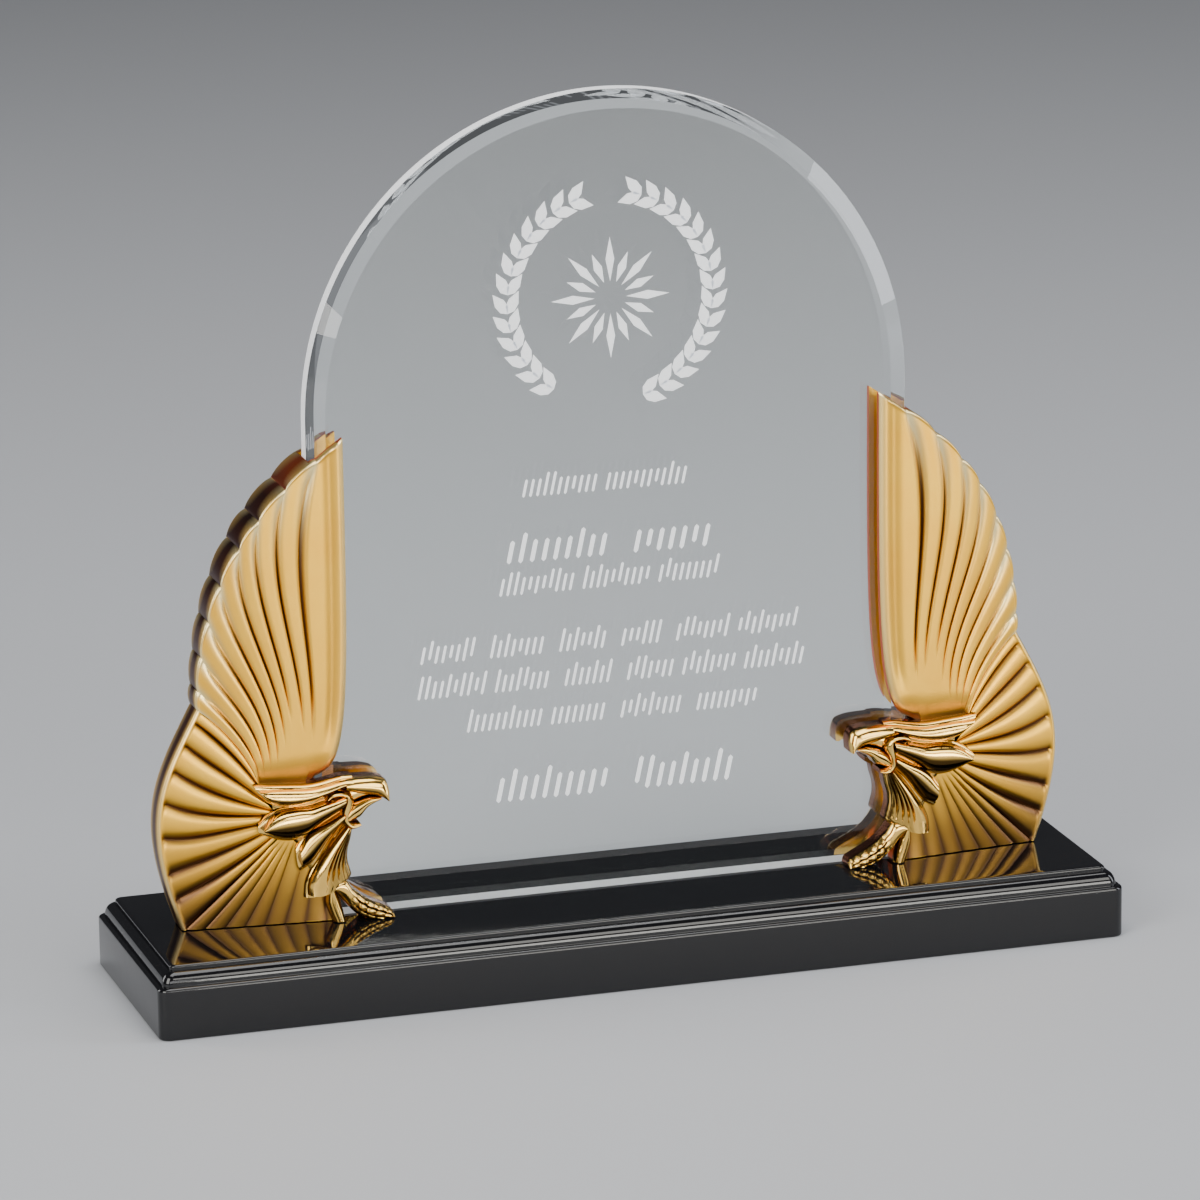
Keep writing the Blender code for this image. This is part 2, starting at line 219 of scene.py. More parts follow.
def grid_quads(wide, tall, wrap=False):
    """Quads of a grid: corner numbers i * tall + j, (i + 1) * tall + j and their neighbours at j + 1."""
    columns = np.arange(wide)
    rows = np.arange(tall if wrap else tall - 1)
    i, j = np.meshgrid(columns[:-1], rows, indexing="ij")
    k = (j + 1) % tall
    return np.stack((i * tall + j, (i + 1) * tall + j, (i + 1) * tall + k, i * tall + k), -1).reshape(-1, 4)


def fill_mesh(name, points, quads, caps=()):
    """A mesh of these quads and of caps with any number of corners."""
    mesh = bpy.data.meshes.new(name)
    faces = np.asarray(quads).tolist() + [list(cap) for cap in caps]
    mesh.from_pydata(np.asarray(points).tolist(), [], faces)
    return mesh


def clean_mesh(mesh, merge=MERGE, triangles=False):
    """Merges doubles and turns faces outwards. For triangles, slivers go first and faces are split last."""
    edit = bmesh.new()
    edit.from_mesh(mesh)
    if merge:
        bmesh.ops.remove_doubles(edit, verts=edit.verts, dist=merge)
    if triangles:
        bmesh.ops.dissolve_degenerate(edit, dist=merge, edges=edit.edges)
    bmesh.ops.recalc_face_normals(edit, faces=edit.faces)
    if triangles:
        bmesh.ops.triangulate(edit, faces=edit.faces)
    edit.to_mesh(mesh)
    edit.free()
    return mesh


def stand(name, mesh, material=None):
    """Puts a mesh into the scene as an object at the origin."""
    obj = bpy.data.objects.new(name, mesh)
    bpy.context.scene.collection.objects.link(obj)
    if material:
        mesh.materials.append(material)
    return obj


def smooth(obj, degrees):
    """Smooth shading that stays sharp where faces turn by more than these degrees."""
    obj.data.shade_smooth()
    obj.data.set_sharp_from_angle(angle=math.radians(degrees))


def boolean(target, others, operation):
    """Joins or cuts, keeps the result as the target's plain mesh and removes the others."""
    for other in others:
        step = target.modifiers.new(operation, "BOOLEAN")
        step.operation = operation
        step.solver = "MANIFOLD"
        step.object = other
    graph = bpy.context.evaluated_depsgraph_get()
    mesh = bpy.data.meshes.new_from_object(target.evaluated_get(graph))
    target.modifiers.clear()
    mesh.materials.clear()
    target.data = mesh
    for other in others:
        bpy.data.objects.remove(other, do_unlink=True)


def block(name, low, high):
    """A box between two corners, used as a cutter."""
    picks = np.array([(x, y, z) for x in (0, 1) for y in (0, 1) for z in (0, 1)])
    points = np.where(picks == 0, np.array(low), np.array(high))
    quads = [(0, 1, 3, 2), (4, 6, 7, 5), (0, 4, 5, 1), (2, 3, 7, 6), (0, 2, 6, 4), (1, 5, 7, 3)]
    return stand(name, clean_mesh(fill_mesh(name, points, quads)))


def ease(x):
    """Smooth step: 0 below 0, 1 above 1, 3 x^2 - 2 x^3 between."""
    x = np.clip(x, 0, 1)
    return x * x * (3 - 2 * x)


def bell(x, middle, width):
    """Bell curve: exp(-((x - middle) / width) ** 2)."""
    return np.exp(-((x - middle) / width) ** 2)


print("a 3 x 4 grid has %d quads" % len(grid_quads(3, 4)))

# %% [markdown]
# The base is a block of wood with many coats of black lacquer, sanded and buffed until it mirrors.
# Its edges are softened by hand, and a coved moulding steps in under the flat top.
# The profile is a list of inset and height, carried round a rectangle with round corners.

# %% Base
SLAB_TOP = 14.7 * MM
MOULDING_INSET, MOULDING_HEIGHT = 5.0 * MM, 5.3 * MM
CORNER = 3.0 * MM
CORNER_LOSS = 0.3               # the corner's radius shrinks by this share of the inset
EDGE_ROUND = 1.0 * MM
FOOT_ROUND, LIP_ROUND = 0.5 * EDGE_ROUND, 0.7 * EDGE_ROUND
# shares of the moulding's inset, then of its height
COVE_START, COVE_WIDTH, LIP_START = 0.30, 0.50, 0.84
COVE_HEIGHT = 0.72


def rounded_rectangle(half_x, half_y, radius, steps=12):
    """Corner k has its centre at (sx (hx - r), sy (hy - r)) and turns from 90 k to 90 (k + 1) degrees."""
    turn = np.radians(90 * (np.arange(4)[:, None] + np.linspace(0, 1, steps)[None, :]))
    sx = np.array((1, -1, -1, 1))[:, None]
    sy = np.array((1, 1, -1, -1))[:, None]
    x = sx * (half_x - radius) + radius * np.cos(turn)
    y = sy * (half_y - radius) + radius * np.sin(turn)
    return np.stack((x.ravel(), y.ravel()), axis=-1)


def base_profile():
    """Inset and height: the foot's round, a quarter round, the cove's quarter circle and the lip's round."""
    arc = np.linspace(0, np.pi / 2, 9)
    inward, down = 1 - np.cos(arc), 1 - np.sin(arc)
    rise = COVE_HEIGHT * MOULDING_HEIGHT
    foot = np.stack((FOOT_ROUND * down[::2], FOOT_ROUND * inward[::2]), -1)
    shoulder = np.stack((EDGE_ROUND * inward, SLAB_TOP - EDGE_ROUND * down), -1)
    cove = np.stack((MOULDING_INSET * (COVE_START + COVE_WIDTH * inward), SLAB_TOP + rise * np.sin(arc)), -1)
    step = np.array([(MOULDING_INSET * LIP_START, SLAB_TOP + rise)])
    lip = np.stack((MOULDING_INSET * (LIP_START + (1 - LIP_START) * inward), BASE_TOP - LIP_ROUND * down), -1)
    return np.concatenate((foot, shoulder, cove, step, lip))


profile = base_profile()
rings = [rounded_rectangle(BASE_HIGH[0] - inset, BASE_HIGH[1] - inset, CORNER - CORNER_LOSS * inset)
         for inset, _ in profile]
count = len(rings[0])
points = np.concatenate([np.column_stack((ring, np.full(count, height)))
                         for ring, (_, height) in zip(rings, profile)])
caps = (range(count - 1, -1, -1), range(len(points) - count, len(points)))
quads = grid_quads(len(profile), count, wrap=True)
base = stand("lacquered_base", clean_mesh(fill_mesh("lacquered_base", points, quads, caps)))
smooth(base, 30)
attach(base, "root")
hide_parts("base")
print("base: %d faces" % len(base.data.polygons))

# %% [markdown]
# Black lacquer is a dark resin under a clear, very smooth top coat. The eye sees mostly its reflections.
# Hand buffing leaves a faint unevenness, a few millimetres wide, that makes straight reflections waver.

# %% Black lacquer
lacquer, tree, shader = new_material("buffed_black_lacquer", {
    "Base Color": colour("#0C0C0E"), "Roughness": 0.05, "IOR": 1.5})
place = object_place(tree)
# buffing waves about 6 mm apart
add_bump(tree, shader, noise(tree, place, 160.0, 1.0), 0.06, 0.0004)
# fine dust lifts the black by a trace
dust = noise(tree, place, 1400.0)
settled = add_node(tree, "ShaderNodeMapRange", {"From Min": 0.55, "From Max": 0.8}, {"Value": dust})
tree.links.new(blend(tree, settled.outputs["Result"], "#0B0B0D", "#1B1B1E"), shader.inputs["Base Color"])
base.data.materials.append(lacquer)
print(lacquer.name, "has", len(tree.nodes), "nodes")

# %% [markdown]
# The plate is cut from clear optical glass: straight sides, a half-round top, and a wide bevel on both faces.
# The bevel bends light, so it reads as a grey and white frame round the clear field.
# One outline is moved inwards by the bevel's width, and four such outlines make the rim and both bevels.

# %% Glass plate
BEVEL_WIDTH, BEVEL_DEPTH = 5.0 * MM, 2.6 * MM
ARCH_STEPS = 160


def arch_outline(inset):
    """Half circle of radius R - inset about the spring point, with straight legs down to the foot."""
    radius = PLATE_HALF - inset
    spring = PLATE_HIGH[2] - PLATE_HALF
    turn = np.pi * (1 - np.linspace(0, 1, ARCH_STEPS + 1))
    arc = np.stack((radius * np.cos(turn), spring + radius * np.sin(turn)), -1)
    foot = PLATE_LOW[2]
    return np.concatenate(([(-radius, foot)], arc, [(radius, foot)]))


rim_half = PLATE_FACE - BEVEL_DEPTH
layers = ((BEVEL_WIDTH, -PLATE_FACE), (0.0, -rim_half), (0.0, rim_half), (BEVEL_WIDTH, PLATE_FACE))
outlines = [arch_outline(inset) for inset, _ in layers]
count = len(outlines[0])
points = np.concatenate([np.column_stack((line[:, 0], np.full(count, y), line[:, 1]))
                         for line, (_, y) in zip(outlines, layers)])
foot = [k * count for k in range(4)] + [k * count + count - 1 for k in (3, 2, 1, 0)]
caps = (range(count), range(4 * count - 1, 3 * count - 1, -1), foot)
plate = stand("bevelled_plate", clean_mesh(fill_mesh("bevelled_plate", points, grid_quads(4, count), caps)))
smooth(plate, 20)
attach(plate, "root")
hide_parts("arch_plate")
print("plate: %d faces" % len(plate.data.polygons))

# %% [markdown]
# The faces and bevels are polished. The foot and the narrow rim between the bevels are only ground.
# They gather the light that runs inside the plate and show as white lines. A trace of it leaves through the
# bevels too. That light is painted on as a glow: on the ground faces, on the bevels and on the sandblasted
# marks.

# %% Clear and ground glass
INDEX = 1.52                    # crown glass bends light by this much
FLAT, BEVEL, GROUND = 0, 1, 2   # the plate's material slots


def clear_glass(name, glow):
    """Polished glass with this much painted glow."""
    material, tree, shader = new_material(name, {
        "Base Color": colour("#F7FBFA"), "Roughness": 0.0, "IOR": INDEX, "Transmission Weight": 1.0,
        "Emission Color": colour("#F4F8FF"), "Emission Strength": glow})
    # polishing leaves the faces a trace wavy, about 30 mm from crest to crest
    add_bump(tree, shader, noise(tree, object_place(tree), 33.0, 0.0), 0.02, 0.0005)
    return material


# ground glass for the foot, the rim and the marks: its emission of 0.16 is a painted glow for the light
# carried inside the plate
ground_glass, tree, shader = new_material("ground_glass", {
    "Base Color": colour("#F4F6F8"), "Roughness": 0.6, "IOR": INDEX, "Transmission Weight": 0.25,
    "Emission Color": colour("#F4F8FF"), "Emission Strength": 0.16})
# grit marks about half a millimetre apart
grit = noise(tree, object_place(tree), 2000.0)
tree.links.new(blend(tree, grit, "#ECEFF2", "#FFFFFF"), shader.inputs["Base Color"])
add_bump(tree, shader, grit, 0.4, 0.0001)

# the bevels get a painted glow of 0.05
for glass in (clear_glass("polished_optical_glass", 0.0), clear_glass("polished_bevel_glass", 0.05),
              ground_glass):
    plate.data.materials.append(glass)
normals = np.zeros(len(plate.data.polygons) * 3)
plate.data.polygons.foreach_get("normal", normals)
# how squarely a face looks to the front or back: 0 on the rim and the foot, 0.89 on a bevel, 1 on a flat face
squarely = np.abs(normals.reshape(-1, 3)[:, 1])
finish = np.select((squarely < 0.1, squarely < 0.98), (GROUND, BEVEL), FLAT)
plate.data.polygons.foreach_set("material_index", finish.astype(np.int32))
print("plate: %d faces on the bevels, %d ground" % ((finish == BEVEL).sum(), (finish == GROUND).sum()))

# %% [markdown]
# The eagles are cast in metal and plated with gold. Both faces carry the same relief.
# The wing is a fan: every line runs from a root under the crest to a point on the outline.
# So the whole wing is one function of two numbers, which line and how far along it. The relief is added to it
# as depth: broad feathers with narrow grooves above, round pleats below, and a thin raised rim.

# %% Wing: the fan of lines
UNIT = MM                       # the drawing's unit
GRIP = 9.5 * MM                 # how far the wing reaches over the plate
WING_INNER_X = PLATE_HALF - GRIP
UPPER_EDGE = ((0.3, 136.2), (25.2, 119.7), (41.4, 100.0), (42.4, 62.7))
FAN_EDGE = ((42.4, 62.7), (53.7, 41.6), (59.9, 32.3), (48.0, -0.6))
FOOT_INNER = 3.0
# line numbers: a feather or pleat lies between two even numbers
FIRST_FEATHER, NOTCH, CORNER_LINE, LAST = 4.0, 20.0, 36.0, 52.0
# half thickness at the root, along the upper edge, round the fan and at the inner foot
HALF_ROOT, HALF_UPPER, HALF_FAN, HALF_FOOT = 8.3, 8.0, 4.2, 9.4
THIN_FROM = 0.40                # the upper edge thins after this share of it
SCALLOP_LINES, SCALLOP_HEIGHTS, SCALLOP_POWER = (4, 10, 20), (1.0, 0.9, 0.6), 0.65
# line number, share of its outline curve where it ends, root, and the two points that bend it
LINES = np.array((
    (0, 0.000, 10.0, 41.0, 0.2, 44.0, 0.0, 62.0), (4, 0.107, 13.0, 39.4, 5.7, 72.3, 20.4, 98.6),
    (6, 0.243, 15.8, 39.2, 7.4, 68.7, 26.4, 93.6), (8, 0.379, 18.3, 39.2, 11.3, 66.7, 29.7, 90.1),
    (10, 0.492, 20.6, 39.2, 12.9, 64.8, 33.0, 84.4), (12, 0.628, 22.4, 39.2, 16.1, 62.0, 33.6, 78.1),
    (14, 0.748, 23.6, 39.1, 20.3, 60.9, 33.4, 70.8), (16, 0.856, 24.8, 39.0, 23.6, 57.2, 34.6, 64.8),
    (18, 0.949, 25.6, 38.8, 26.2, 51.5, 35.7, 61.2), (20, 1.000, 25.6, 38.4, 28.4, 49.5, 36.3, 58.0),
    (22, 1.045, 25.0, 37.8, 30.2, 47.6, 37.4, 54.6), (24, 1.147, 24.8, 35.8, 33.0, 43.4, 40.6, 47.8),
    (26, 1.285, 22.5, 33.0, 34.6, 37.1, 41.9, 40.0), (28, 1.460, 20.8, 31.7, 34.6, 32.2, 43.9, 32.3),
    (30, 1.641, 21.4, 29.8, 34.5, 29.1, 45.2, 24.9), (32, 1.809, 22.4, 28.3, 34.7, 22.2, 44.0, 19.4),
    (34, 1.904, 22.4, 26.2, 33.2, 17.5, 41.6, 12.9), (36, 2.000, 21.6, 25.0, 30.6, 16.2, 39.6, 7.4),
    (44, 2.500, 16.6, 24.6, 20.0, 14.0, 23.2, 6.2), (52, 3.000, 5.0, 9.0, 4.4, 6.0, 3.6, 2.6)))


def bezier(points, t):
    """Cubic curve (1-t)^3 a + 3 (1-t)^2 t b + 3 (1-t) t^2 c + t^3 d, with points and t as arrays."""
    t = np.asarray(t, float)[..., None]
    a, b, c, d = (np.asarray(p, float) for p in points)
    return (1 - t) ** 3 * a + 3 * (1 - t) ** 2 * t * b + 3 * (1 - t) * t ** 2 * c + t ** 3 * d


def between(q, column):
    """A column of the table of lines, read at line number q."""
    return np.interp(q, LINES[:, 0], LINES[:, column])


def from_drawing(points):
    """Points in metres from points in the drawing's unit, counted from the wing's inner foot."""
    return points * UNIT + np.array((WING_INNER_X, 0, BASE_TOP))


def wing_lines(q):
    """Tip and half thickness of each line: on the upper curve, then the fan's curve, then along the base."""
    share = between(q, 1)
    on_first, on_second, on_third = (np.clip(share - start, 0, 1) for start in (0, 1, 2))
    on_upper = bezier(UPPER_EDGE, on_first)
    ahead = bezier(UPPER_EDGE, on_first + 0.01) - on_upper
    normal = np.stack((-ahead[:, 1], ahead[:, 0]), -1) / np.hypot(*ahead.T)[:, None]
    phase = (q / 2) % 1.0
    # scallops: the tip of each upper feather stands out as a rounded lobe, lower for the narrow ones
    swell = np.interp(q, SCALLOP_LINES, SCALLOP_HEIGHTS) * (4 * phase * (1 - phase)) ** SCALLOP_POWER
    on_upper = on_upper + normal * np.where((q > FIRST_FEATHER) & (q < NOTCH), swell, 0.0)[:, None]
    on_fan = bezier(FAN_EDGE, on_second)
    corner = np.array(FAN_EDGE[3])
    on_foot = corner + np.stack(((FOOT_INNER - corner[0]) * on_third, 0 * share), -1)
    tip = np.where((q > NOTCH)[:, None], on_fan, on_upper)
    tip = np.where((q > CORNER_LINE)[:, None], on_foot, tip)
    thin = np.clip((share - THIN_FROM) / (1 - THIN_FROM), 0, 1)
    return tip, HALF_UPPER + (HALF_FAN - HALF_UPPER) * thin + (HALF_FOOT - HALF_FAN) * on_third


def wing_plan(q, t):
    """Drawn place (across, up) of each line q at each share t, its half thickness, and the way walked."""
    tip, half = wing_lines(q)
    root, near, far = (np.stack((between(q, c), between(q, c + 1)), -1) for c in (2, 4, 6))
    plan = bezier([p[:, None, :] for p in (root, near, far, tip)], np.broadcast_to(t, (len(q), len(t))))
    steps = np.hypot(*np.moveaxis(np.diff(plan, axis=1), -1, 0))
    return plan, half, np.concatenate((np.zeros((len(q), 1)), np.cumsum(steps, axis=1)), axis=1)


print("the wing has %d drawn lines" % len(LINES))

# %% [markdown]
# The relief needs three distances in millimetres: from the root, from the tip and from the leading edge.
# Above, a feather is flat with narrow grooves that open towards the outline. Below, a pleat is round.
# The grooves fade out on the shoulder over the crest, which dips, and a thin bead runs round the outline.

# %% Wing: the relief
GROOVE = 1.45                   # depth where the strength is 1
FEATHER, PLEAT, FOOT_PLEAT, FOOT_PLEAT_LOSS = 0.95, 1.1, 0.42, 0.20
NARROW, OPENING, OPENING_REACH, PLEAT_POWER, FOOT_POWER = 6.5, 3.9, 10.0, 3.0, 2.4
FADE_LINES, FADE_STARTS, LEAD_FADE_START = (4, 8, 12, 20), (12.0, 18.0, 5.0, 0.0), 12
FLANK_LINE = 3.25               # the first groove's flank starts here on the leading feather
HOLLOW_DEPTH, HOLLOW_PLACE, HOLLOW_WIDTH = 0.6, 4.2, 1.6
DIP_DEPTH, DIP_REACH, DIP_LAST_LINE = 2.0, 9.0, 21
BEAD_HEIGHT, BEAD_PLACE, BEAD_WIDTH = 0.26, 0.75, 0.5
RIM_ROUND = 0.5
LEAD_ROUND, LEAD_ROUND_REACH = 1.2, 2.2
# darker towards the foot, fading out 34 mm up: painted shade and patina
LOW_SHADE_AND_PATINA, LOW_REACH = 0.78, 34
# shares of the painted highlight on the rim and leading edge, and at the wide ends of the grooves
EDGE_HIGHLIGHT, WEDGE_HIGHLIGHT, WEDGE_REACH = 0.7, 1.4, 14.0
FAR_OFF = 99.0


def across_feather(q):
    """Place across a feather or pleat: 1 in the groove at an even line number, 0 in the middle."""
    return np.abs(2 * ((q / 2) % 1.0) - 1)


def feather_strength(fade_from, walked, left, t):
    """A sine along the feather that starts after fade_from and falls to a quarter at the outline."""
    fade = ease((walked - fade_from) / 16) * (0.25 + 0.75 * ease((left - 0.6) / 8))
    return FEATHER * np.sin(np.pi * (0.12 + 0.62 * t)) * fade


def groove_depth(q, t, walked, left):
    """Groove = 1.45 * strength * across ** n, with n from 6.5 (narrow) to 2.6 (round) on a feather."""
    upper = q < NOTCH
    fan = (q >= NOTCH) & (q < CORNER_LINE)
    power = np.where(upper, NARROW - OPENING * np.exp(-left / OPENING_REACH) - 2.0 * t * (1 - t),
                     np.where(fan, PLEAT_POWER, FOOT_POWER))
    pleat = PLEAT * np.sin(np.pi * (0.12 + 0.62 * t)) * ease((left - 0.6) / 1.8)
    foot_pleat = (FOOT_PLEAT - FOOT_PLEAT_LOSS * ease((q - CORNER_LINE) / 5)) * ease(walked / 7)
    feather = feather_strength(np.interp(q, FADE_LINES, FADE_STARTS), walked, left, t)
    strength = np.where(upper, feather, np.where(fan, pleat, foot_pleat))
    # the groove at the notch is shallower
    strength = strength * np.where(np.abs(q - NOTCH) < 1, 0.35, 1.0)
    return GROOVE * strength * across_feather(q) ** power


def edge_distance(plan):
    """Distance from the leading edge, measured across the edge's own direction."""
    heading = np.gradient(plan[0], axis=0)
    heading = heading / np.hypot(*heading.T)[:, None]
    aside = plan - plan[0]
    return np.abs(aside[..., 0] * heading[:, 1] - aside[..., 1] * heading[:, 0])


def wing_depth(q, plan, half, walked):
    """Half thickness = blend from root to tip - groove - hollow - dip + bead - rounding.

    Returns it with two tones from 0 to 1: how much patina and painted shade a point holds, and how far it was
    buffed and painted pale as a highlight.
    """
    q = q[:, None]
    total = walked[:, -1:]
    t = walked / total
    left = total - walked
    rimmed = q < CORNER_LINE
    depth = HALF_ROOT + (half[:, None] - HALF_ROOT) * t ** 1.5
    # the leading feather: a rolled edge, a hollow, a swell, and the first groove's flank
    lead = q < FIRST_FEATHER + 0 * t
    gap = np.where(lead, edge_distance(plan), FAR_OFF)
    flank = GROOVE * feather_strength(LEAD_FADE_START, walked, left, t)
    flank = flank * ease((q - FLANK_LINE) / (FIRST_FEATHER - FLANK_LINE)) ** 2
    groove = np.where(lead, flank, groove_depth(q, t, walked, left))
    hollow = HOLLOW_DEPTH * bell(gap, HOLLOW_PLACE, HOLLOW_WIDTH) * lead * ease((walked - 8) / 12)
    dip = DIP_DEPTH * (1 - ease(walked / DIP_REACH)) * ease((DIP_LAST_LINE - q) / 3)
    bead = BEAD_HEIGHT * bell(left, BEAD_PLACE, BEAD_WIDTH) * (q > 1) * rimmed
    lip = np.clip(1 - left / RIM_ROUND, 0, 1) * rimmed
    roll = np.clip(1 - gap / LEAD_ROUND_REACH, 0, 1)
    rounding = RIM_ROUND * (1 - np.sqrt(1 - lip ** 2)) + LEAD_ROUND * roll ** 2.2
    # painted shade, with patina in the grooves: darker in the grooves, in the hollow, in the shoulder's dip
    # and towards the foot
    low = LOW_SHADE_AND_PATINA * (1 - ease(plan[..., 1] / LOW_REACH))
    recess = np.clip(groove / 1.15 + hollow * 0.45 + dip * 0.38 + low, 0, 1)
    # the rim, the leading edge and the wide ends of the grooves were buffed, and are painted pale there as a
    # highlight
    groove_end_highlight = (q > 3.2) * (q < NOTCH) * across_feather(q) ** 2.4 * bell(left, 0, WEDGE_REACH) * WEDGE_HIGHLIGHT
    shine = np.clip(EDGE_HIGHLIGHT * bell(left, 0.3, 0.42) * rimmed + bell(gap, 0, 1.5) * EDGE_HIGHLIGHT + groove_end_highlight, 0, 1)
    return depth - groove - hollow - dip + bead - rounding, recess, shine


print("a feather's groove is %.1f mm deep half way" % groove_depth(np.array(12.0), 0.5, 40.0, 40.0))

# %% [markdown]
# The two faces of the wing are one grid and its mirror image, joined by a wall round the edge.
# The grid's lines crowd towards the grooves and towards the outline, where the surface turns most.
# Two cuts follow: the slot for the plate's edge, and the flat underside.

# %% Wing: the mesh
SLIVER = 1e-6                   # metres: thinner faces are dropped
LEAD_COLUMNS, FEATHER_COLUMNS, PLEAT_COLUMNS, FOOT_COLUMNS = 48, 18, 16, 12
PLAIN_ROWS, EDGE_ROWS, EDGE_FROM = 66, 22, 0.94
# metres: the ground's cutter to either side, to the front and back and downwards, and the slot's upwards
GROUND_REACH, SLOT_TOP = (0.2, 0.1, 0.05), 0.3


def write_tones(mesh, recess, shine):
    """Two numbers at each point, 0 to 1: how much patina and painted shade it holds, and how far it was
    buffed and painted pale as a highlight.
    """
    for label, values in (("recess", recess), ("shine", shine)):
        layer = mesh.attributes.new(label, "FLOAT", "POINT")
        layer.data.foreach_set("value", np.ascontiguousarray(values, np.float32))


def crowded_lines(first, steps, count=8):
    """Line numbers that crowd towards the grooves: first + 2 k + 1 - cos(angle)."""
    turn = np.linspace(0, np.pi, steps + 1)[:-1]
    return (first + np.arange(count)[:, None] * 2 + 1 - np.cos(turn)).ravel()


def wing_mesh(name):
    """The front relief and its mirrored back, joined by a wall round the edge."""
    q = np.concatenate((FIRST_FEATHER * np.linspace(0, 1, LEAD_COLUMNS, endpoint=False) ** 1.5,
                        crowded_lines(FIRST_FEATHER, FEATHER_COLUMNS), crowded_lines(NOTCH, PLEAT_COLUMNS),
                        crowded_lines(CORNER_LINE, FOOT_COLUMNS), [LAST]))
    t = np.concatenate((np.linspace(0, EDGE_FROM, PLAIN_ROWS, endpoint=False),
                        EDGE_FROM + (1 - EDGE_FROM) * np.linspace(0, 1, EDGE_ROWS) ** 0.8))
    plan, half, walked = wing_plan(q, t)
    depth, recess, shine = wing_depth(q, plan, half, walked)
    front = np.stack((plan[..., 0], -depth, plan[..., 1]), -1)
    wide, tall = front.shape[:2]
    points = from_drawing(np.concatenate((front.reshape(-1, 3), (front * (1, -1, 1)).reshape(-1, 3))))
    quads = grid_quads(wide, tall)
    total = wide * tall
    numbers = np.arange(total).reshape(wide, tall)
    rim = np.concatenate((numbers[:, 0], numbers[-1, 1:], numbers[-2::-1, -1], numbers[0, -2:0:-1]))
    wall = np.stack((rim, np.roll(rim, -1), np.roll(rim, -1) + total, rim + total), -1)
    mesh = fill_mesh(name, points, np.concatenate((quads, quads[:, ::-1] + total, wall)))
    write_tones(mesh, np.tile(recess.ravel(), 2), np.tile(shine.ravel(), 2))
    return clean_mesh(mesh, SLIVER, triangles=True)


def cutters():
    """The slot for the plate's edge and the ground that the casting stands on, each with its gap."""
    half_x, half_y = PLATE_HALF + GAP, PLATE_FACE + GAP
    slot = block("slot", (-half_x, -half_y, 0.0), (half_x, half_y, SLOT_TOP))
    wide, deep, below = GROUND_REACH
    ground = block("ground", (-wide, -deep, -below), (wide, deep, BASE_TOP + GAP))
    return [slot, ground]


wing_right = stand("wing_right", wing_mesh("wing_right"))
boolean(wing_right, cutters(), "DIFFERENCE")
smooth(wing_right, 38)
layers = [layer.name for layer in wing_right.data.attributes]
print("wing: %d faces, layers %s" % (len(wing_right.data.polygons), layers))

# %% [markdown]
# Head, crest, bib, leg and foot are rounded forms laid over the wing, like rolls of clay on a relief.
# Each form lies between two edge curves. Across it the surface follows a flattened half ellipse, which can
# lean to one side of a ridge, and its outer end can be rounded.

# %% Figure: one rounded form
def spline(points, n):
    """Smooth curve: cubic pieces with slopes from the neighbours, n samples by chord length."""
    p = np.asarray(points, float)
    chord = np.concatenate(([0], np.cumsum(np.hypot(*np.diff(p, axis=0).T))))
    slope = np.gradient(p, chord, axis=0)
    s = np.linspace(0, chord[-1], n)
    k = np.clip(np.searchsorted(chord, s, side="right") - 1, 0, len(p) - 2)
    h = (chord[k + 1] - chord[k])[:, None]
    u = (s - chord[k])[:, None] / h
    return ((1 + 2 * u) * (1 - u) ** 2 * p[k] + u * (1 - u) ** 2 * h * slope[k]
            + u * u * (3 - 2 * u) * p[k + 1] + u * u * (u - 1) * h * slope[k + 1])


def grown(top, bottom, grow):
    """Both edges moved apart by so many millimetres, and the last fifth of them ahead as well."""
    middle = (top + bottom) / 2
    ahead = np.gradient(middle, axis=0)
    ahead = ahead / np.hypot(*ahead.T)[:, None]
    out = (top - bottom) / np.maximum(np.hypot(*(top - bottom).T), 0.4)[:, None]
    far_end = ease((np.linspace(0, 1, len(top)) - 0.8) / 0.2)[:, None]
    return top + grow * (out + far_end * ahead), bottom - grow * (out - far_end * ahead)


